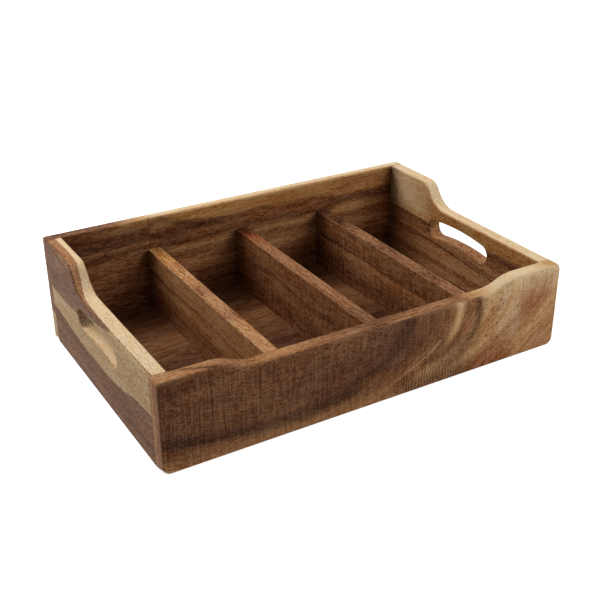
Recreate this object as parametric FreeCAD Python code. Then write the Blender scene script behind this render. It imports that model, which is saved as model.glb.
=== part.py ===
import FreeCAD, Part
import math
import os

# An open wooden tray with four compartments, in millimetres. X runs along the width, Y from the
# front to the back and Z up. The origin is on the ground, under the middle of the tray.

# Outside of the tray
tray_width = 460.0
tray_depth = 298.5
back_height = 121.0
front_height = 95.0

# Boards
front_thickness = 17.0
back_thickness = 14.0
end_thickness = 17.0
divider_thickness = 15.0
divider_count = 3
divider_top = 84.5

# Dip in the top of the front board
dip_depth = 10.0
dip_shoulder = 55.0
dip_radius = 48.0
dip_slope = 40.0

# Ogee step in the top of the end boards
step_setback = 61.5
step_radius_over = 17.0
step_radius_under = 32.0
step_slope = 53.0

# Hand slots
slot_length = 105.5
slot_height = 21.4
slot_rise = 3.2
slot_low_edge = 58.1
slot_offset = 1.4

# Rounded corners and edges
bottom_corner_radius = 9.0
foot_round = 2.0
front_top_round = 6.0
back_top_round = 3.0
end_top_round = 3.0
outer_round = 2.5
soft_round = 1.2
inner_arris = 1.0
slot_arris = 1.2

# Floor panel and the groove that holds it
base_thickness = 8.0
base_rise = 6.0
base_board_names = ("front", "mid_front", "mid_back", "back")
groove_depth = 5.0
groove_play = 0.2
base_end_play = 0.4

# Stopped housings for the dividers
housing_depth = 4.0
housing_stop = 12.0
housing_play = 0.1

# End-to-end finger joint in the back board
joint_from_left = 115.0
finger_length = 8.0
finger_count = 3

# Corner dowels
dowel_diameter = 8.0
dowel_length = 28.0
dowel_in_face = 9.0
dowel_play = 0.15
dowel_end_play = 0.5
dowel_chamfer = 0.8
dowel_low = 32.0
dowel_below_top = 21.0
front_dowel_count = 2
back_dowel_count = 3

# Where faces lie
x_outer = tray_width / 2.0
x_inner = x_outer - end_thickness
y_front = -tray_depth / 2.0
y_back = tray_depth / 2.0
y_front_inner = y_front + front_thickness
y_back_inner = y_back - back_thickness
floor_level = base_rise + base_thickness
housing_top = divider_top - housing_stop
over = 1.0
near = 0.01


def front_plane(x, z):
    """A point on the outer face of the front board."""
    return FreeCAD.Vector(x, y_front, z)


def end_plane(y, z):
    """A point on the inner face of the right end."""
    return FreeCAD.Vector(x_inner, y, z)


class Outline:
    """A closed outline of lines and arcs, drawn on one plane."""

    def __init__(self, plane, start):
        self.plane = plane
        self.first = start
        self.here = start
        self.edges = []

    def line_to(self, point):
        start = self.plane(*self.here)
        self.edges.append(Part.makeLine(start, self.plane(*point)))
        self.here = point

    def arc_to(self, through, point):
        start = self.plane(*self.here)
        arc = Part.Arc(start, self.plane(*through), self.plane(*point))
        self.edges.append(arc.toShape())
        self.here = point

    def ogee(self, run, drop, radius_start, radius_end, slope):
        """An S-shaped step; run is +1 or -1 along the board, and drop is below zero to climb."""
        fall = abs(drop)
        sign = math.copysign(1.0, drop)
        both = radius_start + radius_end
        angle = min(math.radians(slope), math.acos(max(1.0 - fall / both, 0.0)))
        straight = (fall - both * (1.0 - math.cos(angle))) / math.sin(angle)
        across, height = self.here

        def on_start(turn):
            return (across + run * radius_start * math.sin(turn),
                    height - sign * radius_start * (1.0 - math.cos(turn)))

        self.arc_to(on_start(angle / 2.0), on_start(angle))
        if straight > near:
            self.line_to((self.here[0] + run * straight * math.cos(angle),
                          self.here[1] - sign * straight * math.sin(angle)))
        end = self.here[0] + run * radius_end * math.sin(angle)
        middle = (end - run * radius_end * math.sin(angle / 2.0),
                  height - drop + sign * radius_end * (1.0 - math.cos(angle / 2.0)))
        self.arc_to(middle, (end, height - drop))

    def extrude(self, direction):
        if self.here != self.first:
            self.line_to(self.first)
        return Part.Face(Part.Wire(self.edges)).extrude(direction)


def block(x_range, y_range, z_range):
    """A box between two values on each axis."""
    corner = FreeCAD.Vector(x_range[0], y_range[0], z_range[0])
    return Part.makeBox(x_range[1] - x_range[0], y_range[1] - y_range[0],
                        z_range[1] - z_range[0], corner)


def edges_on(shape, axis, value, low=None):
    """The edges that lie wholly at one value of an axis, above a height where one is given."""
    found = []
    for edge in shape.Edges:
        box = edge.BoundBox
        least = (box.XMin, box.YMin, box.ZMin)[axis]
        most = (box.XMax, box.YMax, box.ZMax)[axis]
        if abs(least - value) < near and abs(most - value) < near:
            if low is None or box.ZMin > low:
                found.append(edge)
    return found


def spread(low, high, count):
    """Evenly spaced values from low to high."""
    return [low + (high - low) * i / (count - 1) for i in range(count)]


def dowel_heights(height, count):
    return spread(dowel_low, height - dowel_below_top, count)


def divider_centres():
    """Middles of the dividers, which part the inside into equal compartments."""
    clear = (2.0 * x_inner - divider_count * divider_thickness) / (divider_count + 1)
    first = -x_inner + clear + divider_thickness / 2.0
    return [first + i * (clear + divider_thickness) for i in range(divider_count)]


def dowel_axis_x():
    return x_outer - end_thickness / 2.0


def drill(x, y, z, length, direction):
    """A dowel hole from the face at y, as long as given, along +Y or -Y."""
    radius = dowel_diameter / 2.0 + dowel_play
    return Part.makeCylinder(radius, length, FreeCAD.Vector(x, y, z),
                             FreeCAD.Vector(0, direction, 0))


def cut_seats(board, face_y, into, height, dowel_count):
    """Cuts what a long board's inner face takes: floor groove, housings and dowel holes."""
    groove_x = x_inner + groove_depth
    groove_y = sorted((face_y - into * over, face_y + into * groove_depth))
    groove_z = (base_rise, floor_level + groove_play)
    board = board.cut(block((-groove_x, groove_x), groove_y, groove_z))
    housing_y = sorted((face_y - into * over, face_y + into * housing_depth))
    half = divider_thickness / 2.0 + housing_play
    for centre in divider_centres():
        board = board.cut(block((centre - half, centre + half), housing_y,
                                (base_rise, housing_top + housing_play)))
    for z in dowel_heights(height, dowel_count):
        for side in (-1, 1):
            board = board.cut(drill(side * dowel_axis_x(), face_y, z, dowel_in_face, into))
    return board


def front_board():
    """The front board, with a dip between raised ends and rounded lower corners."""
    shoulder = x_outer - dip_shoulder
    dip = (dip_depth, dip_radius, dip_radius, dip_slope)
    outline = Outline(front_plane, (-x_outer, 0.0))
    outline.line_to((x_outer, 0.0))
    outline.line_to((x_outer, front_height))
    outline.line_to((shoulder, front_height))
    outline.ogee(-1, *dip)
    low_x = outline.here[0]
    outline.line_to((-low_x, outline.here[1]))
    outline.ogee(-1, -dip[0], *dip[1:])
    outline.line_to((-x_outer, front_height))
    board = outline.extrude(FreeCAD.Vector(0, front_thickness, 0))
    board = round_long_board(board, y_front, y_front_inner, front_height, front_top_round)
    return cut_seats(board, y_front_inner, -1, front_height, front_dowel_count)


def round_long_board(board, outer_y, inner_y, height, top_round):
    """Rounds a long board along the top, at the ends and below.

    Its inner arris is broken between the end boards only, as the joints are sanded flush. Its
    lower corners are rounded most on the outer face, and run out into the feet of the ends.
    """
    for x in (-x_outer, x_outer):
        corner = [e for e in edges_on(board, 0, x) if e.BoundBox.ZMax < near][0]
        radii = [bottom_corner_radius, foot_round]
        if abs(corner.Vertexes[0].Y - outer_y) > near:
            radii.reverse()
        board = board.makeFillet(*radii, [corner])
    above = bottom_corner_radius + over
    top = [e for e in edges_on(board, 1, outer_y, above) if e.BoundBox.XLength > near]
    board = board.makeFillet(top_round, top)
    ends = []
    for x in (-x_outer, x_outer):
        for edge in edges_on(board, 0, x):
            far = max(abs(edge.BoundBox.YMin - inner_y), abs(edge.BoundBox.YMax - inner_y))
            at_foot = edge.BoundBox.ZMax < above
            if far > near and not at_foot:
                ends.append(edge)
    ends += [e for e in edges_on(board, 1, outer_y) if e.BoundBox.ZMax < above]
    board = board.makeFillet(outer_round, ends)
    inside = [e for e in edges_on(board, 1, inner_y, above) if e.BoundBox.XLength > over]
    between = block((-x_inner, x_inner), (y_front - over, y_back + over),
                    (-over, back_height + over))
    eased = board.makeChamfer(inner_arris, inside).common(between)
    return board.cut(between).fuse(eased).removeSplitter()


def back_board():
    """The back board in one length, straight along the top."""
    board = block((-x_outer, x_outer), (y_back_inner, y_back), (0.0, back_height))
    board = round_long_board(board, y_back, y_back_inner, back_height, back_top_round)
    return cut_seats(board, y_back_inner, 1, back_height, back_dowel_count)


def finger_side():
    """The space left of the finger joint, whose zigzag runs through the board's thickness."""
    joint_x = -x_outer + joint_from_left
    rows = spread(y_back_inner, y_back, 2 * finger_count + 1)
    points = []
    for i, y in enumerate(rows):
        points.append(FreeCAD.Vector(joint_x + finger_length * (i % 2), y, -over))
    far = -x_outer - over
    points.append(FreeCAD.Vector(points[-1].x, y_back + over, -over))
    points.append(FreeCAD.Vector(far, y_back + over, -over))
    points.append(FreeCAD.Vector(far, y_back_inner - over, -over))
    points.append(FreeCAD.Vector(points[0].x, y_back_inner - over, -over))
    points.append(points[0])
    face = Part.Face(Part.makePolygon(points))
    return face.extrude(FreeCAD.Vector(0, 0, back_height + 2.0 * over))


def hand_slot():
    """The hand slot: a slot with round ends along a shallow arch, through the right end."""
    half_height = slot_height / 2.0
    half_chord = slot_length / 2.0 - half_height
    bend = (half_chord ** 2 + slot_rise ** 2) / (2.0 * slot_rise)
    angle = math.asin(half_chord / bend)
    crown = slot_low_edge + half_height + slot_rise

    def at(radius, turn):
        return (slot_offset + radius * math.sin(turn), crown - bend + radius * math.cos(turn))

    def end_tip(side):
        y, z = at(bend, side * angle)
        return (y + side * half_height * math.cos(angle), z - half_height * math.sin(angle))

    outline = Outline(end_plane, at(bend - half_height, -angle))
    outline.arc_to(at(bend - half_height, 0.0), at(bend - half_height, angle))
    outline.arc_to(end_tip(1), at(bend + half_height, angle))
    outline.arc_to(at(bend + half_height, 0.0), at(bend + half_height, -angle))
    outline.arc_to(end_tip(-1), outline.first)
    return outline.extrude(FreeCAD.Vector(end_thickness, 0, 0))


def right_end():
    """An end board with its ogee step, hand slot, floor groove and dowel holes."""
    outline = Outline(end_plane, (y_front_inner, 0.0))
    outline.line_to((y_back_inner, 0.0))
    outline.line_to((y_back_inner, back_height))
    outline.line_to((y_back_inner - step_setback, back_height))
    outline.ogee(-1, back_height - front_height, step_radius_over, step_radius_under,
                 step_slope)
    outline.line_to((y_front_inner, front_height))
    board = outline.extrude(FreeCAD.Vector(end_thickness, 0, 0))
    board = board.makeFillet(end_top_round, top_edges(board, x_outer))
    board = board.makeChamfer(inner_arris, top_edges(board, x_inner))
    foot = [e for e in edges_on(board, 0, x_outer) if e.BoundBox.ZMax < near]
    board = board.makeFillet(foot_round, foot)
    board = board.cut(hand_slot())
    rims = []
    for x in (x_inner, x_outer):
        rims += [e for e in edges_on(board, 0, x, slot_low_edge - over)
                 if is_slot_edge(e)]
    board = board.makeChamfer(slot_arris, rims)
    board = board.cut(block((x_inner - over, x_inner + groove_depth),
                            (y_front_inner - over, y_back_inner + over),
                            (base_rise, floor_level + groove_play)))
    depth = dowel_length + 2.0 * dowel_end_play - dowel_in_face
    for z in dowel_heights(front_height, front_dowel_count):
        board = board.cut(drill(dowel_axis_x(), y_front_inner, z, depth, 1))
    for z in dowel_heights(back_height, back_dowel_count):
        board = board.cut(drill(dowel_axis_x(), y_back_inner, z, depth, -1))
    return board


def is_slot_edge(edge):
    box = edge.BoundBox
    reach = slot_length / 2.0 + over
    top = slot_low_edge + slot_height + slot_rise + over
    inside = box.YMin > slot_offset - reach and box.YMax < slot_offset + reach
    return inside and box.ZMax < top


def top_edges(board, x):
    """The top edges of an end board on one of its faces."""
    top = edges_on(board, 0, x, front_height - over)
    return [e for e in top if e.BoundBox.YLength > near]


def mirrored(shape):
    """The same shape on the left of the tray."""
    return shape.mirror(FreeCAD.Vector(0, 0, 0), FreeCAD.Vector(1, 0, 0))


def divider(centre):
    """A divider that stands on the floor, with a tongue in the housing at each end."""
    half = divider_thickness / 2.0
    body = block((centre - half, centre + half), (y_front_inner, y_back_inner),
                 (floor_level, divider_top))
    top = [e for e in edges_on(body, 2, divider_top) if e.BoundBox.YLength > over]
    body = body.makeFillet(soft_round, top)
    reach = housing_depth - housing_play
    tongue = block((centre - half, centre + half), (y_front_inner - reach, y_back_inner + reach),
                   (floor_level, housing_top))
    return body.fuse(tongue).removeSplitter()


def base_boards():
    """The floor: boards glued edge to edge, as one panel in the groove."""
    half_x = x_inner + groove_depth - base_end_play
    y_low = y_front_inner - groove_depth + base_end_play
    y_high = y_back_inner + groove_depth - base_end_play
    rows = spread(y_low, y_high, len(base_board_names) + 1)
    boards = {}
    for i, name in enumerate(base_board_names):
        boards["base_board_" + name] = block((-half_x, half_x), (rows[i], rows[i + 1]),
                                             (base_rise, floor_level))
    return boards


def corner_dowels(face_y, into, height, count):
    """The dowels of one right-hand corner; into points from the end board to the long board."""
    start = face_y + into * (dowel_in_face - dowel_end_play)
    dowels = []
    for z in dowel_heights(height, count):
        dowel = Part.makeCylinder(dowel_diameter / 2.0, dowel_length,
                                  FreeCAD.Vector(dowel_axis_x(), start, z),
                                  FreeCAD.Vector(0, -into, 0))
        rims = [e for e in dowel.Edges if e.BoundBox.YLength < near]
        dowels.append(dowel.makeChamfer(dowel_chamfer, rims))
    return dowels


def build():
    """Every node of the tray, by name."""
    nodes = {}
    nodes["front_board"] = front_board()
    whole_back = back_board()
    left_space = finger_side()
    nodes["back_board_left"] = whole_back.common(left_space)
    nodes["back_board_right"] = whole_back.cut(left_space)
    nodes["right_end"] = right_end()
    nodes["left_end"] = mirrored(nodes["right_end"])
    names = ("left", "middle", "right")
    for name, centre in zip(names, divider_centres()):
        nodes["divider_" + name] = divider(centre)
    nodes.update(base_boards())
    dowels = corner_dowels(y_front_inner, -1, front_height, front_dowel_count)
    dowels += corner_dowels(y_back_inner, 1, back_height, back_dowel_count)
    nodes["dowels_right"] = Part.makeCompound(dowels)
    nodes["dowels_left"] = mirrored(nodes["dowels_right"])
    return nodes


def main():
    os.makedirs("parts", exist_ok=True)
    for name, shape in build().items():
        shape.exportStep("parts/%s.step" % name)
        box = shape.BoundBox
        print("%-20s solids %d valid %s  volume %.0f  size %.1f %.1f %.1f" % (
            name, len(shape.Solids), shape.isValid(), shape.Volume,
            box.XLength, box.YLength, box.ZLength))


main()
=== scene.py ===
import math

import bmesh
import bpy
from mathutils import Matrix, Vector

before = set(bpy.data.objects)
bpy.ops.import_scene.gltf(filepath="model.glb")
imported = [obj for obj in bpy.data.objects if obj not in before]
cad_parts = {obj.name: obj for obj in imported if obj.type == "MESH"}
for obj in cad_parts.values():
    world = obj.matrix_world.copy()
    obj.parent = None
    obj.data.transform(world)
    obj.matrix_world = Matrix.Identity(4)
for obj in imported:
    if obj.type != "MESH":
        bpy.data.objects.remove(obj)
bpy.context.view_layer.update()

bl_info = {
    "name": "Acacia cutlery tray",
    "version": (1, 0, 0),
    "blender": (4, 5, 0),
    "location": "View3D > Sidebar > Tray",
    "description": "Finishes a wooden cutlery tray with oiled acacia, board by board, "
                   "and stands it in a plain studio",
    "category": "Object",
}

# Metres in the file, millimetres in the patterns.
MM = 1000.0
# Euler turns that bring a board's length, height and thickness to X, Y and Z.
ALONG_X = (math.radians(-90.0), 0.0, 0.0)
ALONG_Y = (math.radians(-90.0), math.radians(-90.0), 0.0)
FLAT = (0.0, 0.0, 0.0)
# No board reaches this height, so a line's height fits a curve from 0 to 1.
LINE_TOP = 200.0


def linear(code):
    """An sRGB hex colour as linear values."""
    values = []
    for start in (0, 2, 4):
        part = int(code[start:start + 2], 16) / 255.0
        values.append(part / 12.92 if part <= 0.04045 else ((part + 0.055) / 1.055) ** 2.4)
    return tuple(values)


def colour(label, code, about):
    """A colour that the user may change."""
    return bpy.props.FloatVectorProperty(
        name=label, description=about, subtype="COLOR", size=3, min=0.0, max=1.0,
        default=linear(code))


class TrayColours(bpy.types.PropertyGroup):
    cream: colour("Cream", "EBCDA2", "Sapwood on the top edges")
    straw: colour("Straw", "CC9F6B", "Pale flame of sapwood")
    tan: colour("Tan", "B58255", "Sapwood under oil")
    sand: colour("Sand", "CBA97B", "Sapwood on the outside of the ends")
    golden: colour("Golden", "BF8A50", "Yellow wood by the sapwood")
    honey: colour("Honey", "91613D", "Light heartwood")
    rust: colour("Rust", "8B4B29", "Reddish heartwood")
    clay: colour("Clay", "7E5536", "Greyish heartwood on the outside of the ends")
    chestnut: colour("Chestnut", "71482D", "The common heartwood")
    umber: colour("Umber", "563421", "Dark growth zones")
    bark: colour("Bark", "452812", "Darkest lines and knots")


class TrayGrain(bpy.types.PropertyGroup):
    pore_length: bpy.props.FloatProperty(
        name="Pore length", description="Length of an open pore along the grain",
        default=0.006, min=0.001, max=0.05, unit="LENGTH")
    pore_width: bpy.props.FloatProperty(
        name="Pore width", description="Width of a pore, drawn coarse enough to show",
        default=0.0016, min=0.0001, max=0.005, unit="LENGTH")
    saw_pitch: bpy.props.FloatProperty(
        name="Saw mark pitch", description="Mean distance between saw marks",
        default=0.0016, min=0.0005, max=0.02, unit="LENGTH")
    roughness: bpy.props.FloatProperty(
        name="Roughness", description="Roughness of the oiled surface",
        default=0.55, min=0.1, max=1.0, subtype="FACTOR")
    relief: bpy.props.FloatProperty(
        name="Relief", description="Depth of pores and saw marks",
        default=0.0002, min=0.0, max=0.002, unit="LENGTH")


class TrayStage(bpy.types.PropertyGroup):
    key: bpy.props.FloatProperty(
        name="Key light", description="Power of the soft light from the rear left, above",
        default=13.5, min=0.0, max=500.0, unit="POWER")
    fill: bpy.props.FloatProperty(
        name="Fill light", description="Power of the soft light from the front right",
        default=19.0, min=0.0, max=500.0, unit="POWER")
    surround: bpy.props.FloatProperty(
        name="Surround", description="Strength of the light from all round",
        default=0.20, min=0.0, max=2.0)


def add(tree, kind, *inputs, **settings):
    """Adds a node with its settings, then sets or links its shown inputs in order."""
    node = tree.nodes.new("ShaderNode" + kind)
    for name, value in settings.items():
        setattr(node, name, value)
    shown = [socket for socket in node.inputs if socket.enabled]
    for socket, value in zip(shown, inputs):
        if value is None:
            continue
        if isinstance(value, bpy.types.Node):
            value = [output for output in value.outputs if output.enabled][0]
        if isinstance(value, bpy.types.NodeSocket):
            tree.links.new(value, socket)
        else:
            socket.default_value = value
    return node


def weigh(tree, start, *terms):
    """start plus each value times its weight."""
    total = start
    for value, weight in terms:
        total = add(tree, "Math", value, weight, total, operation="MULTIPLY_ADD")
    return total


def tint(paint):
    """One of the user's colours by its name; a node is passed on as it is."""
    if isinstance(paint, str):
        return tuple(getattr(bpy.context.scene.tray_colours, paint)) + (1.0,)
    return paint


class Board:
    """One board's material, with its space in mm.

    u runs along the grain, v up the face and w through it, from 0 on the face that shows most.
    """

    def __init__(self, name, turn, face, seed):
        self.material = bpy.data.materials.new(name)
        self.material.use_nodes = True
        self.tree = tree = self.material.node_tree
        tree.nodes.clear()
        self.seed = seed
        place = add(tree, "TexCoord").outputs["Object"]
        self.space = add(tree, "Mapping", place, (0.0, 0.0, -face), turn, (MM, MM, MM))
        self.u, self.v, self.w = add(tree, "SeparateXYZ", self.space).outputs
        normal = add(tree, "NewGeometry").outputs["Normal"]
        self.up = add(tree, "SeparateXYZ", normal).outputs["Z"]
        faced = add(tree, "SeparateXYZ", add(tree, "Mapping", normal, None, turn))
        # 1 on the wide faces, 0 on the edges and ends.
        self.side = add(tree, "Math", faced.outputs["Z"], operation="ABSOLUTE")
        # Limits that hold together on the top edge, with its slopes.
        self.top = ((self.side, 0.7, 0.25), (self.up, 0.2, 0.5))

    def mottle(self, size, seed, detail=2.0, space=None):
        """Noise from about -1 to 1, with patches of the given size in mm along u, v and w."""
        number = self.seed + seed
        scale = [1.0 / length for length in size]
        shift = (number * 7.31, number * 3.17, number * 5.73)
        scaled = add(self.tree, "VectorMath", space or self.space, scale, shift,
                     operation="MULTIPLY_ADD")
        noise = add(self.tree, "TexNoise", scaled, 1.0, detail)
        return add(self.tree, "Math", noise, 4.0, -2.0, operation="MULTIPLY_ADD")

    def drift(self, lie, sway):
        """Makes growth lines wander: lie is the place across them and sway how far, in mm."""
        slow = self.mottle((150.0, 30.0, 30.0), 1.0, 1.0)
        quick = self.mottle((34.0, 8.0, 8.0), 2.0, 2.0)
        return weigh(self.tree, lie, (slow, sway), (quick, sway * 0.3), (self.w, 0.15))

    def rise(self, height, points, along=None):
        """How far a height lies above the line through points (u, height), in mm."""
        tree = self.tree
        first, last = points[0][0], points[-1][0]
        line = add(tree, "FloatCurve", 1.0,
                   add(tree, "MapRange", along or self.u, first, last))
        curve = line.mapping.curves[0].points
        curve[0].location = (0.0, points[0][1] / LINE_TOP)
        curve[1].location = (1.0, points[-1][1] / LINE_TOP)
        for u, v in points[1:-1]:
            curve.new((u - first) / (last - first), v / LINE_TOP)
        line.mapping.update()
        return weigh(tree, height, (line, -LINE_TOP))

    def reach(self, centre, size):
        """How far out a place lies from an oval's centre: 1 on its edge, of half sizes in mm."""
        tree = self.tree
        scale = (1.0 / size[0], 1.0 / size[1], 0.0)
        shift = (-centre[0] / size[0], -centre[1] / size[1], 0.0)
        scaled = add(tree, "VectorMath", self.space, scale, shift, operation="MULTIPLY_ADD")
        far = add(tree, "VectorMath", scaled, operation="LENGTH").outputs["Value"]
        return weigh(tree, far, (self.mottle((14.0, 5.0, 6.0), 31.0), 0.2))

    def where(self, *limits, full=1.0):
        """How far all limits hold, from 0 to full; a limit is a value, its start and its end."""
        held = None
        for value, start, end in limits:
            part = add(self.tree, "MapRange", value, start, end, 0.0, full,
                       interpolation_type="SMOOTHSTEP")
            full = 1.0
            held = part if held is None else add(self.tree, "Math", held, part,
                                                 operation="MULTIPLY")
        return held

    def lay(self, paint, over, *limits, full=1.0):
        """Lays a colour over the paint where all limits hold."""
        return add(self.tree, "Mix", self.where(*limits, full=full), tint(paint), tint(over),
                   data_type="RGBA")

    def tints(self, value, stops):
        """Colours along a value in mm; stops are (mm, name of a colour)."""
        low, high = stops[0][0], stops[-1][0]
        ramp = add(self.tree, "ValToRGB", add(self.tree, "MapRange", value, low, high))
        elements = ramp.color_ramp.elements
        elements[0].color = tint(stops[0][1])
        elements[1].color = tint(stops[-1][1])
        for place, name in stops[1:-1]:
            elements.new((place - low) / (high - low)).color = tint(name)
        return ramp


def peak(value, middle, half):
    """Two limits that hold together only by the middle of a band, half as wide as given."""
    return (value, middle - half, middle), (value, middle + half, middle)


def oiled_acacia(board, paint, ring, saw=0.0, deep=0.0, streaks=1.0, flecks=1.0, specks=0.1):
    """Finishes a board with oiled acacia, planed and sanded.

    The oil leaves it satin. Growth lines and fibres run along the grain as streaks, open pores
    show as short flecks, and the saw leaves a fine hatch across the wide faces: saw is how
    strong it is, and deep how strong the few marks that cross the whole board. Specks are pores
    cut across. Real fibres and pores are 0.1 to 0.3 mm wide, too fine for a picture of the whole
    tray, so they are drawn about 2 mm wide.
    """
    tree = board.tree
    grain = bpy.context.scene.tray_grain
    length, width, pitch = (size * MM for size in (grain.pore_length, grain.pore_width,
                                                   grain.saw_pitch))
    top = board.where(*board.top)
    across = add(tree, "Mix", top, ring, board.v)
    along = add(tree, "CombineXYZ", board.u, across, board.w)
    growth = board.mottle((140.0, 5.0, 5.0), 3.0, 3.0, along)
    fibre = board.mottle((24.0, 2.0, 2.0), 4.0, 1.0, along)
    fleck = board.mottle((length, width, width), 5.0, 1.0)
    pore = board.where((fleck, 0.5, 1.0))
    speck = board.mottle((width, width, width), 10.0, 0.0)
    cloud = board.mottle((45.0, 20.0, 20.0), 6.0, 3.0)
    wide = board.where((board.side, 0.9, 0.99))
    hatch = add(tree, "Math", board.mottle((pitch, 30.0, 30.0), 7.0, 1.0),
                add(tree, "Math", wide, saw, operation="MULTIPLY"), operation="MULTIPLY")
    line = board.where((board.mottle((pitch, 260.0, 260.0), 8.0, 1.0), 0.4, 0.9),
                       (board.mottle((50.0, 50.0, 50.0), 9.0, 1.0), -0.3, 0.5),
                       (board.side, 0.9, 0.99))
    rim = board.where((board.side, 0.1, 0.45), (board.side, 0.98, 0.8))
    # Pale wood shows a stain less, so the top edges, which are mostly pale, take more flecks.
    speckle = add(tree, "MapRange", top, 0.0, 1.0, 0.20 * flecks, 0.30 * flecks)
    lines = weigh(tree, 0.0, (growth, 0.16), (fibre, 0.20))
    # A power above 1 makes a colour darker and redder at once, as more of the wood's stain does.
    stain = weigh(tree, 1.0, (lines, streaks), (fleck, speckle), (pore, 0.25), (cloud, 0.12),
                  (speck, specks), (hatch, 0.19), (line, deep), (rim, -0.06))
    toned = add(tree, "Gamma", paint, add(tree, "Math", stain, 0.8, operation="MAXIMUM"))
    rough = weigh(tree, grain.roughness, (pore, 0.15), (growth, 0.05))
    height = weigh(tree, 0.0, (pore, -0.6), (line, -0.8), (fibre, 0.2), (hatch, 0.3))
    bump = add(tree, "Bump", 1.0, grain.relief, None, height)
    shader = add(tree, "BsdfPrincipled", toned, 0.0, rough, 1.45)
    # Bare fibre ends break the gloss up, so little of it is left.
    shader.inputs["Specular IOR Level"].default_value = 0.1
    tree.links.new(bump.outputs[0], shader.inputs["Normal"])
    add(tree, "OutputMaterial", shader)


def dress(material, *nodes):
    """Gives CAD nodes their material."""
    for name in nodes:
        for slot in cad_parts[name].material_slots:
            slot.material = material


def arches(board):
    """How far a place of the front board lies out from the middle of its nested arches, in mm.

    The saw laid the arches bare in a leaning heart: they open upwards, are long to the left and
    short to the right, and lean over at the right end.
    """
    tree = board.tree
    left = add(tree, "MapRange", board.u, -235.0, -95.0, 50.0, 0.0)
    right = add(tree, "MapRange", board.u, -95.0, 120.0, 0.0, 128.7)
    end = add(tree, "MapRange", board.u, 120.0, 235.0, 0.0, 70.0)
    out = weigh(tree, left, (right, 1.0), (end, 1.0))
    down = add(tree, "Math", 96.0, board.v, operation="SUBTRACT")
    both = add(tree, "CombineXYZ", out, down)
    far = add(tree, "VectorMath", both, operation="LENGTH").outputs["Value"]
    # The pale flame narrows to thin streaks where it runs out below.
    low = add(tree, "MapRange", board.v, 62.0, 0.0, 0.0, 22.0)
    flame = board.where((far, 85.0, 115.0))
    return add(tree, "Math", low, flame, far, operation="MULTIPLY_ADD")


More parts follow.
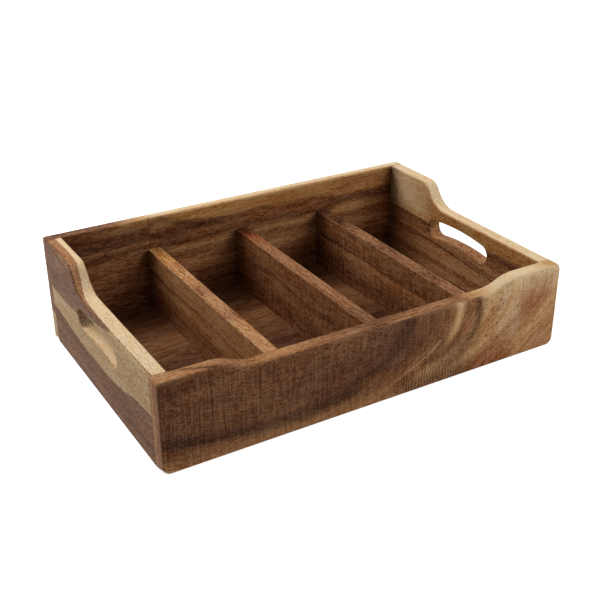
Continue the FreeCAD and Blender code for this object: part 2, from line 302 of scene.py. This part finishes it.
class TRAY_OT_front(bpy.types.Operator):
    """Finish the front board: arched heartwood that turns pale to the right"""
    bl_idname = "tray.front"
    bl_label = "Front board"

    def execute(self, context):
        board = Board("acacia_front_oiled", ALONG_X, 149.25, 3.0)
        ring = board.drift(arches(board), 2.6)
        paint = board.tints(ring, (
            (0.0, "chestnut"), (69.0, "chestnut"), (75.0, "umber"), (79.0, "bark"),
            (82.0, "bark"), (86.0, "chestnut"), (100.0, "chestnut"), (112.0, "honey"),
            (127.0, "honey"),
            (133.0, "tan"), (140.0, "straw"), (150.0, "tan"), (160.0, "straw"),
            (170.0, "tan"), (178.0, "tan"), (186.0, "tan"), (196.0, "straw"),
            (210.0, "tan"), (220.0, "tan")))
        paint = board.lay(paint, "umber", (board.reach((0.0, 62.0), (42.0, 30.0)), 1.2, 0.4),
                          full=0.6)
        paint = board.lay(paint, "umber", *peak(ring, 46.0, 6.0), full=0.35)
        paint = board.lay(paint, "umber", (board.reach((-72.0, 42.0), (38.0, 26.0)), 1.2, 0.4),
                          full=0.35)
        paint = board.lay(paint, "umber", (board.reach((85.0, 36.0), (38.0, 24.0)), 1.2, 0.4),
                          full=0.55)
        paint = board.lay(paint, "honey", (board.reach((-2.0, 27.0), (28.0, 8.0)), 1.3, 0.5),
                          full=0.5)
        glow = board.mottle((60.0, 18.0, 18.0), 45.0)
        paint = board.lay(paint, "honey", (glow, -0.2, 0.9), (board.u, 60.0, 20.0),
                          (ring, 74.0, 62.0), full=0.4)
        paint = board.lay(paint, "tan", (ring, 84.0, 92.0), (board.v, 27.0, 4.0),
                          (board.u, 60.0, 0.0), (board.u, -215.0, -180.0), full=0.5)
        paint = board.lay(paint, "umber", (board.u, -195.0, -225.0), (board.side, 0.5, 0.9),
                          (board.v, 20.0, 45.0), full=0.5)
        paint = board.lay(paint, "tan", (board.v, 23.0, 8.0), (board.u, -25.0, -60.0), full=0.3)
        # The pale flame, wide above and in thin streaks below, with a dark streak on its right.
        flame = board.rise(board.u, ((20.0, 55.0), (45.0, 84.0), (60.0, 93.0), (95.0, 98.0)),
                           board.v)
        paint = board.lay(paint, "straw", *peak(flame, 0.0, 9.5), (board.v, 30.0, 55.0))
        paint = board.lay(paint, "cream", *peak(flame, 0.0, 6.0), (board.v, 45.0, 60.0),
                          full=0.2)
        paint = board.lay(paint, "straw", *peak(ring, 117.0, 3.0), (board.v, 60.0, 40.0),
                          full=0.5)
        paint = board.lay(paint, "tan", *peak(ring, 111.0, 2.0), (board.v, 50.0, 35.0), full=0.6)
        paint = board.lay(paint, "tan", *peak(ring, 104.0, 2.0), (board.v, 40.0, 28.0), full=0.5)
        dark = board.rise(board.u, ((25.0, 98.0), (45.0, 115.0), (60.0, 121.0), (95.0, 118.0)),
                          board.v)
        red = board.mottle((22.0, 12.0, 12.0), 41.0, 2.0)
        paint = board.lay(paint, "umber", *peak(weigh(board.tree, dark, (red, 1.5)), 0.0, 9.0),
                          (board.v, 26.0, 50.0), full=0.75)
        paint = board.lay(paint, "cream", (weigh(board.tree, board.v, (red, 6.0)), 60.0, 94.0),
                          (board.u, 122.0, 132.0), full=0.7)
        paint = board.lay(paint, "cream", (board.reach((163.0, 50.0), (18.0, 24.0)), 1.3, 0.5),
                          full=0.35)
        paint = board.lay(paint, "rust", (board.u, 95.0, 125.0), (board.u, 185.0, 160.0),
                          (weigh(board.tree, board.v, (red, 6.0)), 26.0, 6.0), full=0.65)
        paint = board.lay(paint, "rust", *peak(weigh(board.tree, ring, (red, 7.0)), 181.0, 20.0),
                          (board.v, 92.0, 62.0), full=0.3)
        paint = board.lay(paint, "chestnut", (board.v, 24.0, 6.0), (board.u, 0.0, 35.0),
                          (board.u, 130.0, 100.0), full=0.75)
        blot = board.mottle((11.0, 6.0, 6.0), 46.0, 2.0)
        paint = board.lay(paint, "honey", (blot, 0.1, 1.2), (ring, 125.0, 140.0), full=0.5)
        # Dark specks among the pale wood.
        speck = board.mottle((2.6, 2.6, 2.6), 43.0, 0.0)
        paint = board.lay(paint, "umber", (speck, 0.85, 1.15), (board.u, 85.0, 105.0),
                          (board.u, 175.0, 140.0), full=0.7)
        # The saw's strong marks: a comb at the foot and a few lines that cross the left part.
        comb = add(board.tree, "Math", weigh(board.tree, 0.0, (board.u, 1.7), (red, 3.0)),
                   operation="SINE")
        paint = board.lay(paint, "bark", (comb, 0.2, 1.0), (board.u, 5.0, 40.0),
                          (board.u, 115.0, 98.0),
                          (weigh(board.tree, board.v, (red, 5.0)), 26.0, 16.0), full=0.75)
        for place, strength in ((-193.0, 0.5), (-180.0, 0.9), (-168.0, 0.6), (-140.0, 0.4),
                                (-131.0, 0.5), (-60.0, 0.3), (-22.0, 0.3)):
            paint = board.lay(paint, "bark", *peak(board.u, place, 1.4), (board.v, 8.0, 30.0),
                              full=strength)
        # The end that shows on the left, brown with upright streaks.
        cut = board.tints(weigh(board.tree, board.w, (red, 2.0)), (
            (-17.0, "honey"), (-14.0, "tan"), (-10.0, "honey"), (-4.0, "honey"),
            (0.0, "chestnut")))
        paint = board.lay(paint, cut, (board.side, 0.9, 0.5), (board.u, -228.0, -229.0))
        top = board.tints(board.u, (
            (-230.0, "tan"), (-195.0, "tan"), (-150.0, "honey"), (-100.0, "tan"),
            (-50.0, "honey"), (0.0, "chestnut"), (50.0, "honey"), (100.0, "honey"),
            (125.0, "straw"), (150.0, "cream"), (200.0, "cream"), (230.0, "straw")))
        long = board.mottle((50.0, 3.5, 3.5), 48.0, 2.0)
        top = board.lay(top, "umber", (long, 0.1, 1.0), (board.u, 130.0, 105.0), full=0.35)
        top = board.lay(top, "straw", (long, -0.1, -1.2), (board.u, 130.0, 105.0), full=0.6)
        streak = board.rise(board.v, ((-205.0, 110.0), (-165.0, 95.0)))
        streak = weigh(board.tree, streak, (board.w, -1.0))
        top = board.lay(top, "umber", *peak(streak, 0.0, 3.5), (board.u, -215.0, -195.0),
                        (board.u, -150.0, -165.0), full=0.9)
        paint = board.lay(paint, top, *board.top)
        streaks = add(board.tree, "MapRange", board.u, 80.0, 150.0, 0.5, 1.3)
        saw = add(board.tree, "MapRange", board.u, 60.0, 130.0, 1.2, 0.6)
        oiled_acacia(board, paint, ring, saw=saw, deep=0.4, streaks=streaks, flecks=0.7,
                     specks=0.16)
        dress(board.material, "front_board")
        return {"FINISHED"}


class TRAY_OT_back(bpy.types.Operator):
    """Finish both lengths of the back board: brown inside, with a pale upper edge"""
    bl_idname = "tray.back"
    bl_label = "Back board"

    def execute(self, context):
        for node, seed in (("back_board_left", 11.0), ("back_board_right", 14.0)):
            board = Board("acacia_" + node + "_oiled", ALONG_X, -135.25, seed)
            ring = board.drift(board.v, 5.0)
            if node == "back_board_left":
                paint = board.tints(ring, (
                    (0.0, "chestnut"), (60.0, "honey"), (74.0, "honey"), (82.0, "honey"),
                    (88.0, "chestnut"), (95.0, "honey"), (101.0, "umber"), (107.0, "chestnut"),
                    (113.0, "chestnut"), (118.0, "honey"), (126.0, "chestnut")))
                paint = board.lay(paint, "golden", (board.v, 111.0, 119.0),
                                  (board.u, -165.0, -140.0), full=0.6)
            else:
                high = board.rise(ring, ((-115.0, 124.0), (-95.0, 117.0), (-62.0, 107.0),
                                         (-20.0, 104.0), (20.0, 104.0), (60.0, 101.0),
                                         (110.0, 100.0), (150.0, 94.0), (230.0, 98.0)))
                low = board.rise(ring, ((90.0, 99.0), (160.0, 95.0), (230.0, 101.0)))
                paint = board.tints(ring, (
                    (0.0, "honey"), (30.0, "chestnut"), (45.0, "honey"), (56.0, "tan"),
                    (64.0, "honey"), (72.0, "honey"), (79.0, "tan"), (84.0, "honey"),
                    (90.0, "chestnut"), (96.0, "honey"), (126.0, "honey")))
                paint = board.lay(paint, "rust", *peak(ring, 99.0, 7.0), full=0.35)
                paint = board.lay(paint, "umber", *peak(high, -4.0, 6.0), (board.u, 20.0, -40.0),
                                  full=0.8)
                paint = board.lay(paint, "umber", *peak(low, 0.0, 6.0), (board.u, 90.0, 125.0),
                                  full=0.5)
                paint = board.lay(paint, "golden", (high, -1.0, 3.0), (board.u, 75.0, 30.0),
                                  full=0.9)
                paint = board.lay(paint, "golden", (high, 1.0, 6.0), full=0.75)
                paint = board.lay(paint, "umber", (board.reach((-92.0, 97.0), (28.0, 9.0)),
                                                   1.3, 0.5), full=0.6)
                paint = board.lay(paint, "straw", (board.reach((85.0, 112.0), (34.0, 7.0)),
                                                   1.3, 0.5), full=0.4)
                paint = board.lay(paint, "golden", (board.v, 106.0, 114.0),
                                  (board.u, -110.0, -80.0), (board.u, 190.0, 150.0), full=0.5)
                paint = board.lay(paint, "honey", (board.v, 103.0, 109.0),
                                  (board.u, 110.0, 150.0), full=0.45)
                paint = board.lay(paint, "straw", (board.v, 116.0, 119.5), full=0.5)
                paint = board.lay(paint, "golden", (board.reach((148.0, 82.0), (24.0, 7.0)),
                                                    1.3, 0.5), full=0.5)
            paint = board.lay(paint, "bark", *peak(board.u, -115.0, 1.2), full=0.6)
            # Painted shade: the inside corners by the ends and the dividers are painted darker,
            # where shade falls.
            for middle, height, strength in ((-220.5, 130.0, 0.9), (-110.25, 90.0, 0.9),
                                             (0.0, 90.0, 0.8), (110.25, 90.0, 0.5),
                                             (220.5, 130.0, 0.9)):
                paint = board.lay(paint, "bark", *peak(board.u, middle, 26.0),
                                  (board.v, height, height - 12.0), (board.w, -8.0, -1.0),
                                  full=strength)
            light = board.tints(board.u, (
                (-230.0, "chestnut"), (-165.0, "chestnut"), (-145.0, "honey"), (-122.0, "straw"),
                (-102.0, "cream"), (230.0, "cream")))
            # The pale edge turns tan towards the inside.
            inner = board.tints(board.u, (
                (-230.0, "honey"), (-160.0, "honey"), (-120.0, "tan"), (0.0, "straw"),
                (100.0, "tan"), (230.0, "straw")))
            light = board.lay(inner, light, (board.w, -1.0, -6.0))
            paint = board.lay(paint, light, *board.top)
            # The end that shows on the left: pale below a border, greyish brown above it.
            pale = add(board.tree, "Mix", 0.35, tint("cream"), tint("clay"), data_type="RGBA")
            cut = board.lay(pale, "clay", (board.v, 33.0, 37.0))
            paint = board.lay(paint, cut, (board.side, 0.9, 0.5), (board.u, -228.0, -229.0))
            oiled_acacia(board, paint, ring, streaks=1.3, flecks=1.3, specks=0.15)
            dress(board.material, node)
        return {"FINISHED"}


class TRAY_OT_left_end(bpy.types.Operator):
    """Finish the left end: cool heartwood with a pale band that widens to the front"""
    bl_idname = "tray.left_end"
    bl_label = "Left end"

    def execute(self, context):
        board = Board("acacia_left_end_oiled", ALONG_Y, -230.0, 21.0)
        ring = board.drift(board.v, 2.5)
        low = board.rise(ring, ((-133.0, 54.0), (-100.0, 50.5), (-60.0, 42.5), (-30.0, 38.0),
                                (0.0, 37.5), (40.0, 38.5), (80.0, 42.5), (133.0, 46.0)))
        high = board.rise(ring, ((-133.0, 130.0), (-60.0, 104.0), (-40.0, 95.0), (0.0, 86.0),
                                 (20.0, 83.0), (45.0, 74.0), (60.0, 70.5), (133.0, 70.5)))
        streak = board.mottle((70.0, 3.5, 3.5), 44.0, 3.0)
        speck = board.mottle((1.8, 1.8, 1.8), 45.0, 0.0)
        patch = board.mottle((30.0, 11.0, 11.0), 47.0, 2.0)
        heart = board.lay("clay", "honey", (weigh(board.tree, streak, (patch, 1.0)), -0.2, 1.2),
                          full=0.7)
        heart = board.lay(heart, "umber", (streak, -0.1, -1.0), full=0.6)
        heart = board.lay(heart, "sand", (patch, -0.2, 1.2), (board.v, 76.0, 90.0), full=0.4)
        paint = board.lay(heart, "umber", *peak(ring, 15.0, 4.0), (board.u, -55.0, -75.0),
                          full=0.8)
        sap = board.lay("sand", "clay", (speck, 0.1, 0.9), full=0.35)
        paint = board.lay(paint, sap, (low, -1.2, 1.2))
        paint = board.lay(paint, heart, (high, -1.2, 1.2))
        paint = board.lay(paint, "umber", *peak(low, -1.0, 2.0), full=0.35)
        paint = board.lay(paint, "umber", (speck, 0.2, 1.0), full=0.3)
        inside = board.where((board.side, 0.5, 0.2), (board.v, 54.0, 57.0), (board.v, 86.0, 84.0))
        bore = board.lay("cream", "golden", (board.w, 14.0, 0.0), full=0.15)
        # Painted shade: the slot's rear end, which lies in shade, is painted dark.
        bore = board.lay(bore, "bark", (board.u, 43.0, 51.0), full=0.75)
        paint = add(board.tree, "Mix", inside, paint, bore, data_type="RGBA")
        # The pale sapwood covers the whole top edge in front and its inner part behind.
        inner = board.rise(board.w, ((-133.0, 3.5), (10.0, 3.0), (30.0, 4.0), (45.0, 6.0),
                                     (62.0, 9.0), (133.0, 10.0)))
        edge = board.tints(inner, (
            (-10.0, "clay"), (-6.0, "tan"), (-4.0, "tan"), (-3.0, "honey"), (-1.6, "tan"),
            (-0.8, "honey"), (0.4, "cream"), (16.0, "cream")))
        edge = board.lay(edge, "honey", (speck, 0.1, 0.9), (board.u, 50.0, -20.0), full=0.35)
        paint = board.lay(paint, edge, *board.top, (board.v, 84.0, 88.0))
        paint = board.lay(paint, "bark", *peak(board.u, -132.3, 1.6), full=0.7)
        paint = board.lay(paint, "umber", *peak(board.u, 135.3, 1.6), full=0.5)
        oiled_acacia(board, paint, ring, flecks=0.9, specks=0.36)
        dress(board.material, "left_end")
        return {"FINISHED"}


class TRAY_OT_right_end(bpy.types.Operator):
    """Finish the right end: tan above, brown below a dark line"""
    bl_idname = "tray.right_end"
    bl_label = "Right end"

    def execute(self, context):
        board = Board("acacia_right_end_oiled", ALONG_Y, 213.0, 25.0)
        ring = board.drift(board.v, 2.5)
        line = board.rise(ring, ((-133.0, 41.0), (-60.0, 45.5), (0.0, 48.0), (50.0, 51.8),
                                 (100.0, 53.7), (133.0, 54.5)))
        high = board.rise(ring, ((-133.0, 79.0), (-60.0, 78.0), (0.0, 76.0), (60.0, 73.5),
                                 (133.0, 73.7)))
        paint = board.tints(ring, (
            (0.0, "tan"), (18.0, "tan"), (28.0, "honey"), (33.0, "tan"), (44.0, "tan"),
            (50.0, "honey"), (56.0, "tan"), (62.0, "honey"), (68.0, "honey"), (73.0, "chestnut"),
            (78.0, "honey")))
        paint = board.lay(paint, "bark", *peak(line, 0.0, 1.6), full=0.85)
        paint = board.lay(paint, "golden", (high, -1.5, 1.5), full=0.85)
        paint = board.lay(paint, "straw", (high, -1.0, 1.0), (board.u, 40.0, 70.0))
        paint = board.lay(paint, "cream", (high, 2.0, 14.0), (board.u, 50.0, 95.0), full=0.5)
        paint = board.lay(paint, "tan", (board.side, 0.5, 0.2), (board.v, 54.0, 57.0),
                          (board.v, 86.0, 84.0), full=0.6)
        # Painted shade: the inner face is painted dark by the rear corner, where shade falls.
        paint = board.lay(paint, "bark", (board.u, 106.0, 136.0), (board.w, 8.0, 1.0), full=0.75)
        edge = board.lay("cream", "straw", (board.w, 4.0, 0.0))
        paint = board.lay(paint, edge, *board.top, (board.v, 84.0, 88.0))
        paint = board.lay(paint, "umber", *peak(board.u, -132.3, 1.3), full=0.7)
        oiled_acacia(board, paint, ring, streaks=1.1, flecks=1.5, specks=0.25)
        dress(board.material, "right_end")
        return {"FINISHED"}


class TRAY_OT_dividers(bpy.types.Operator):
    """Finish the three dividers, each from a board of its own"""
    bl_idname = "tray.dividers"
    bl_label = "Dividers"

    def execute(self, context):
        plans = (
            ("divider_left", -117.75, 0.4, (
                (0.0, "honey"), (40.0, "honey"), (50.0, "tan"), (57.0, "tan"),
                (59.5, "chestnut"), (61.5, "tan"), (90.0, "tan")), (
                (-130.0, "tan"), (-70.0, "tan"), (-50.0, "honey"), (-20.0, "tan"),
                (10.0, "honey"), (40.0, "tan"), (80.0, "tan"), (100.0, "golden"),
                (130.0, "golden"))),
            ("divider_middle", -7.5, 1.2, (
                (0.0, "honey"), (30.0, "chestnut"), (42.0, "honey"), (54.0, "honey"),
                (58.0, "chestnut"), (64.0, "honey"), (90.0, "honey")), (
                (-130.0, "clay"), (-110.0, "clay"), (-90.0, "honey"), (20.0, "honey"),
                (70.0, "honey"), (90.0, "honey"), (104.0, "rust"), (130.0, "umber"))),
            ("divider_right", 102.75, 1.2, (
                (0.0, "honey"), (30.0, "chestnut"), (42.0, "honey"), (56.0, "tan"),
                (61.0, "chestnut"), (66.0, "honey"), (90.0, "honey")), (
                (-130.0, "honey"), (-110.0, "honey"), (-80.0, "chestnut"), (-40.0, "honey"),
                (0.0, "chestnut"), (40.0, "honey"), (75.0, "chestnut"), (92.0, "bark"),
                (104.0, "umber"), (114.0, "chestnut"), (130.0, "umber"))))
        for node, place, saw, bands, edge in plans:
            board = Board("acacia_" + node + "_oiled", ALONG_Y, place, 31.0 + place / 30.0)
            ring = board.drift(board.v, 5.0)
            paint = board.tints(ring, bands)
            patch = board.mottle((26.0, 9.0, 9.0), 47.0, 2.0)
            paint = board.lay(paint, "rust", (patch, 0.1, 1.0), full=0.45)
            paint = board.lay(paint, "umber", (patch, -0.3, -1.1), full=0.35)
            # Painted shade: the faces are painted darker towards the rear and the bottom, and
            # dark along the last 30 mm by the back board, where shade falls.
            paint = board.lay(paint, "umber", (board.u, 30.0, 110.0), (board.v, 75.0, 45.0),
                              full=0.35)
            paint = board.lay(paint, "bark", (board.u, 104.0, 135.0), full=0.75)
            paint = board.lay(paint, board.tints(board.u, edge), *board.top)
            oiled_acacia(board, paint, ring, saw=saw, deep=0.3 * saw, streaks=1.2, flecks=1.3,
                         specks=0.2)
            dress(board.material, node)
        return {"FINISHED"}


class TRAY_OT_floor(bpy.types.Operator):
    """Finish the four floor boards"""
    bl_idname = "tray.floor"
    bl_label = "Floor boards"

    def execute(self, context):
        for i, name in enumerate(("front", "mid_front", "mid_back", "back")):
            board = Board("acacia_base_" + name + "_oiled", FLAT, 14.0, 51.0 + 3.0 * i)
            ring = board.drift(board.v, 9.0)
            paint = board.tints(ring, (
                (-140.0, "chestnut"), (-90.0, "honey"), (-60.0, "chestnut"), (-20.0, "umber"),
                (10.0, "chestnut"), (50.0, "honey"), (90.0, "chestnut"), (140.0, "umber")))
            oiled_acacia(board, paint, ring)
            dress(board.material, "base_board_" + name)
        return {"FINISHED"}


class TRAY_OT_dowels(bpy.types.Operator):
    """Finish the hidden corner dowels"""
    bl_idname = "tray.dowels"
    bl_label = "Dowels"

    def execute(self, context):
        # Bare beech: pale, even and matt, with fine short flecks along the dowel.
        board = Board("beech_dowel_bare", ALONG_Y, 0.0, 71.0)
        fleck = board.mottle((4.0, 0.8, 0.8), 1.0)
        stain = weigh(board.tree, 1.0, (fleck, 0.15))
        toned = add(board.tree, "Gamma", linear("C8A27A") + (1.0,), stain)
        shader = add(board.tree, "BsdfPrincipled", toned, 0.0, 0.7, 1.45)
        add(board.tree, "OutputMaterial", shader)
        dress(board.material, "dowels_left", "dowels_right")
        return {"FINISHED"}


def clear_sight(tree):
    """1 where the camera looks straight at a place, in a mirror or through glass."""
    path = add(tree, "LightPath").outputs
    direct = add(tree, "Math", path["Is Camera Ray"], path["Is Glossy Ray"], operation="MAXIMUM")
    return add(tree, "Math", direct, path["Is Transmission Ray"], operation="MAXIMUM")


def soft_light(name, location, size, power):
    """A square area light that points at the middle of the tray."""
    data = bpy.data.lights.new(name, "AREA")
    data.shape = "SQUARE"
    data.size = size
    data.energy = power
    lamp = bpy.data.objects.new(name, data)
    bpy.context.scene.collection.objects.link(lamp)
    line = Vector((0.0, 0.0, 0.05)) - Vector(location)
    lamp.matrix_world = (Matrix.Translation(location)
                         @ line.to_track_quat("-Z", "Y").to_matrix().to_4x4())


class TRAY_OT_stage(bpy.types.Operator):
    """Set up the floor, the lights and the camera"""
    bl_idname = "tray.stage"
    bl_label = "Studio"

    def execute(self, context):
        scene = context.scene
        stage = scene.tray_stage
        scene.view_settings.view_transform = "Standard"
        self.floor(scene)
        self.world(scene, stage.surround)
        soft_light("key_light", (-0.55, 0.85, 1.15), 0.8, stage.key)
        soft_light("fill_light", (1.3, -1.0, 1.3), 1.2, stage.fill)
        self.camera(scene)
        return {"FINISHED"}

    def floor(self, scene):
        """A plain pale floor, near white to the camera, which keeps a faint shadow."""
        mesh = bpy.data.meshes.new("studio_floor")
        grid = bmesh.new()
        bmesh.ops.create_grid(grid, x_segments=1, y_segments=1, size=6.0)
        grid.to_mesh(mesh)
        grid.free()
        ground = bpy.data.objects.new("studio_floor", mesh)
        scene.collection.objects.link(ground)
        # Matt white paper: even and without gloss.
        material = bpy.data.materials.new("paper_white_matt")
        material.use_nodes = True
        tree = material.node_tree
        tree.nodes.clear()
        paper = add(tree, "BsdfDiffuse", linear("E8E8E6") + (1.0,), 0.0)
        # Stronger far off, where the lamps don't reach, so that no horizon shows.
        far = add(tree, "VectorMath", add(tree, "TexCoord").outputs["Object"],
                  operation="LENGTH").outputs["Value"]
        power = add(tree, "MapRange", far, 0.8, 2.0, 0.75, 1.0)
        glow = add(tree, "Emission", (1.0, 1.0, 1.0, 1.0), power)
        seen = clear_sight(tree)
        lit = add(tree, "AddShader", paper, glow)
        both = add(tree, "MixShader", seen, paper, lit)
        add(tree, "OutputMaterial", both)
        mesh.materials.append(material)

    def world(self, scene, strength):
        """Even light from all round, white where the camera sees it."""
        world = bpy.data.worlds.new("studio_surround")
        scene.world = world
        world.use_nodes = True
        tree = world.node_tree
        tree.nodes.clear()
        power = add(tree, "MapRange", clear_sight(tree), 0.0, 1.0, strength, 1.0)
        sky = add(tree, "Background", (1.0, 1.0, 1.0, 1.0), power)
        add(tree, "OutputWorld", sky)

    def camera(self, scene):
        """The camera, solved from the tray's own corners in the picture."""
        data = bpy.data.cameras.new("camera")
        data.sensor_width = 36.0
        data.lens = 59.50
        data.clip_end = 50.0
        camera = bpy.data.objects.new("camera", data)
        scene.collection.objects.link(camera)
        heading, tilt, roll = [math.radians(a) for a in (30.598, 27.212, -0.336)]
        turn = (Matrix.Rotation(-heading, 4, "Z")
                @ Matrix.Rotation(math.radians(90.0) - tilt, 4, "X")
                @ Matrix.Rotation(roll, 4, "Z"))
        camera.matrix_world = Matrix.Translation((-0.4864, -0.8208, 0.5398)) @ turn
        scene.camera = camera


class TRAY_PT_panel(bpy.types.Panel):
    """Lists the colours, the grain, the studio and the steps"""
    bl_idname = "TRAY_PT_panel"
    bl_label = "Acacia cutlery tray"
    bl_space_type = "VIEW_3D"
    bl_region_type = "UI"
    bl_category = "Tray"

    def draw(self, context):
        scene = context.scene
        for group in (scene.tray_colours, scene.tray_grain, scene.tray_stage):
            box = self.layout.box()
            for name in group.__annotations__:
                box.prop(group, name)
        for operator in OPERATORS:
            self.layout.operator(operator.bl_idname)


OPERATORS = (TRAY_OT_front, TRAY_OT_back, TRAY_OT_left_end, TRAY_OT_right_end,
             TRAY_OT_dividers, TRAY_OT_floor, TRAY_OT_dowels, TRAY_OT_stage)
CLASSES = (TrayColours, TrayGrain, TrayStage) + OPERATORS + (TRAY_PT_panel,)


def register():
    for cls in CLASSES:
        bpy.utils.register_class(cls)
    bpy.types.Scene.tray_colours = bpy.props.PointerProperty(type=TrayColours)
    bpy.types.Scene.tray_grain = bpy.props.PointerProperty(type=TrayGrain)
    bpy.types.Scene.tray_stage = bpy.props.PointerProperty(type=TrayStage)


def unregister():
    del bpy.types.Scene.tray_stage
    del bpy.types.Scene.tray_grain
    del bpy.types.Scene.tray_colours
    for cls in reversed(CLASSES):
        bpy.utils.unregister_class(cls)


def main():
    register()
    bpy.ops.tray.front()
    bpy.ops.tray.back()
    bpy.ops.tray.left_end()
    bpy.ops.tray.right_end()
    bpy.ops.tray.dividers()
    bpy.ops.tray.floor()
    bpy.ops.tray.dowels()
    bpy.ops.tray.stage()


if __name__ == "__main__":
    main()
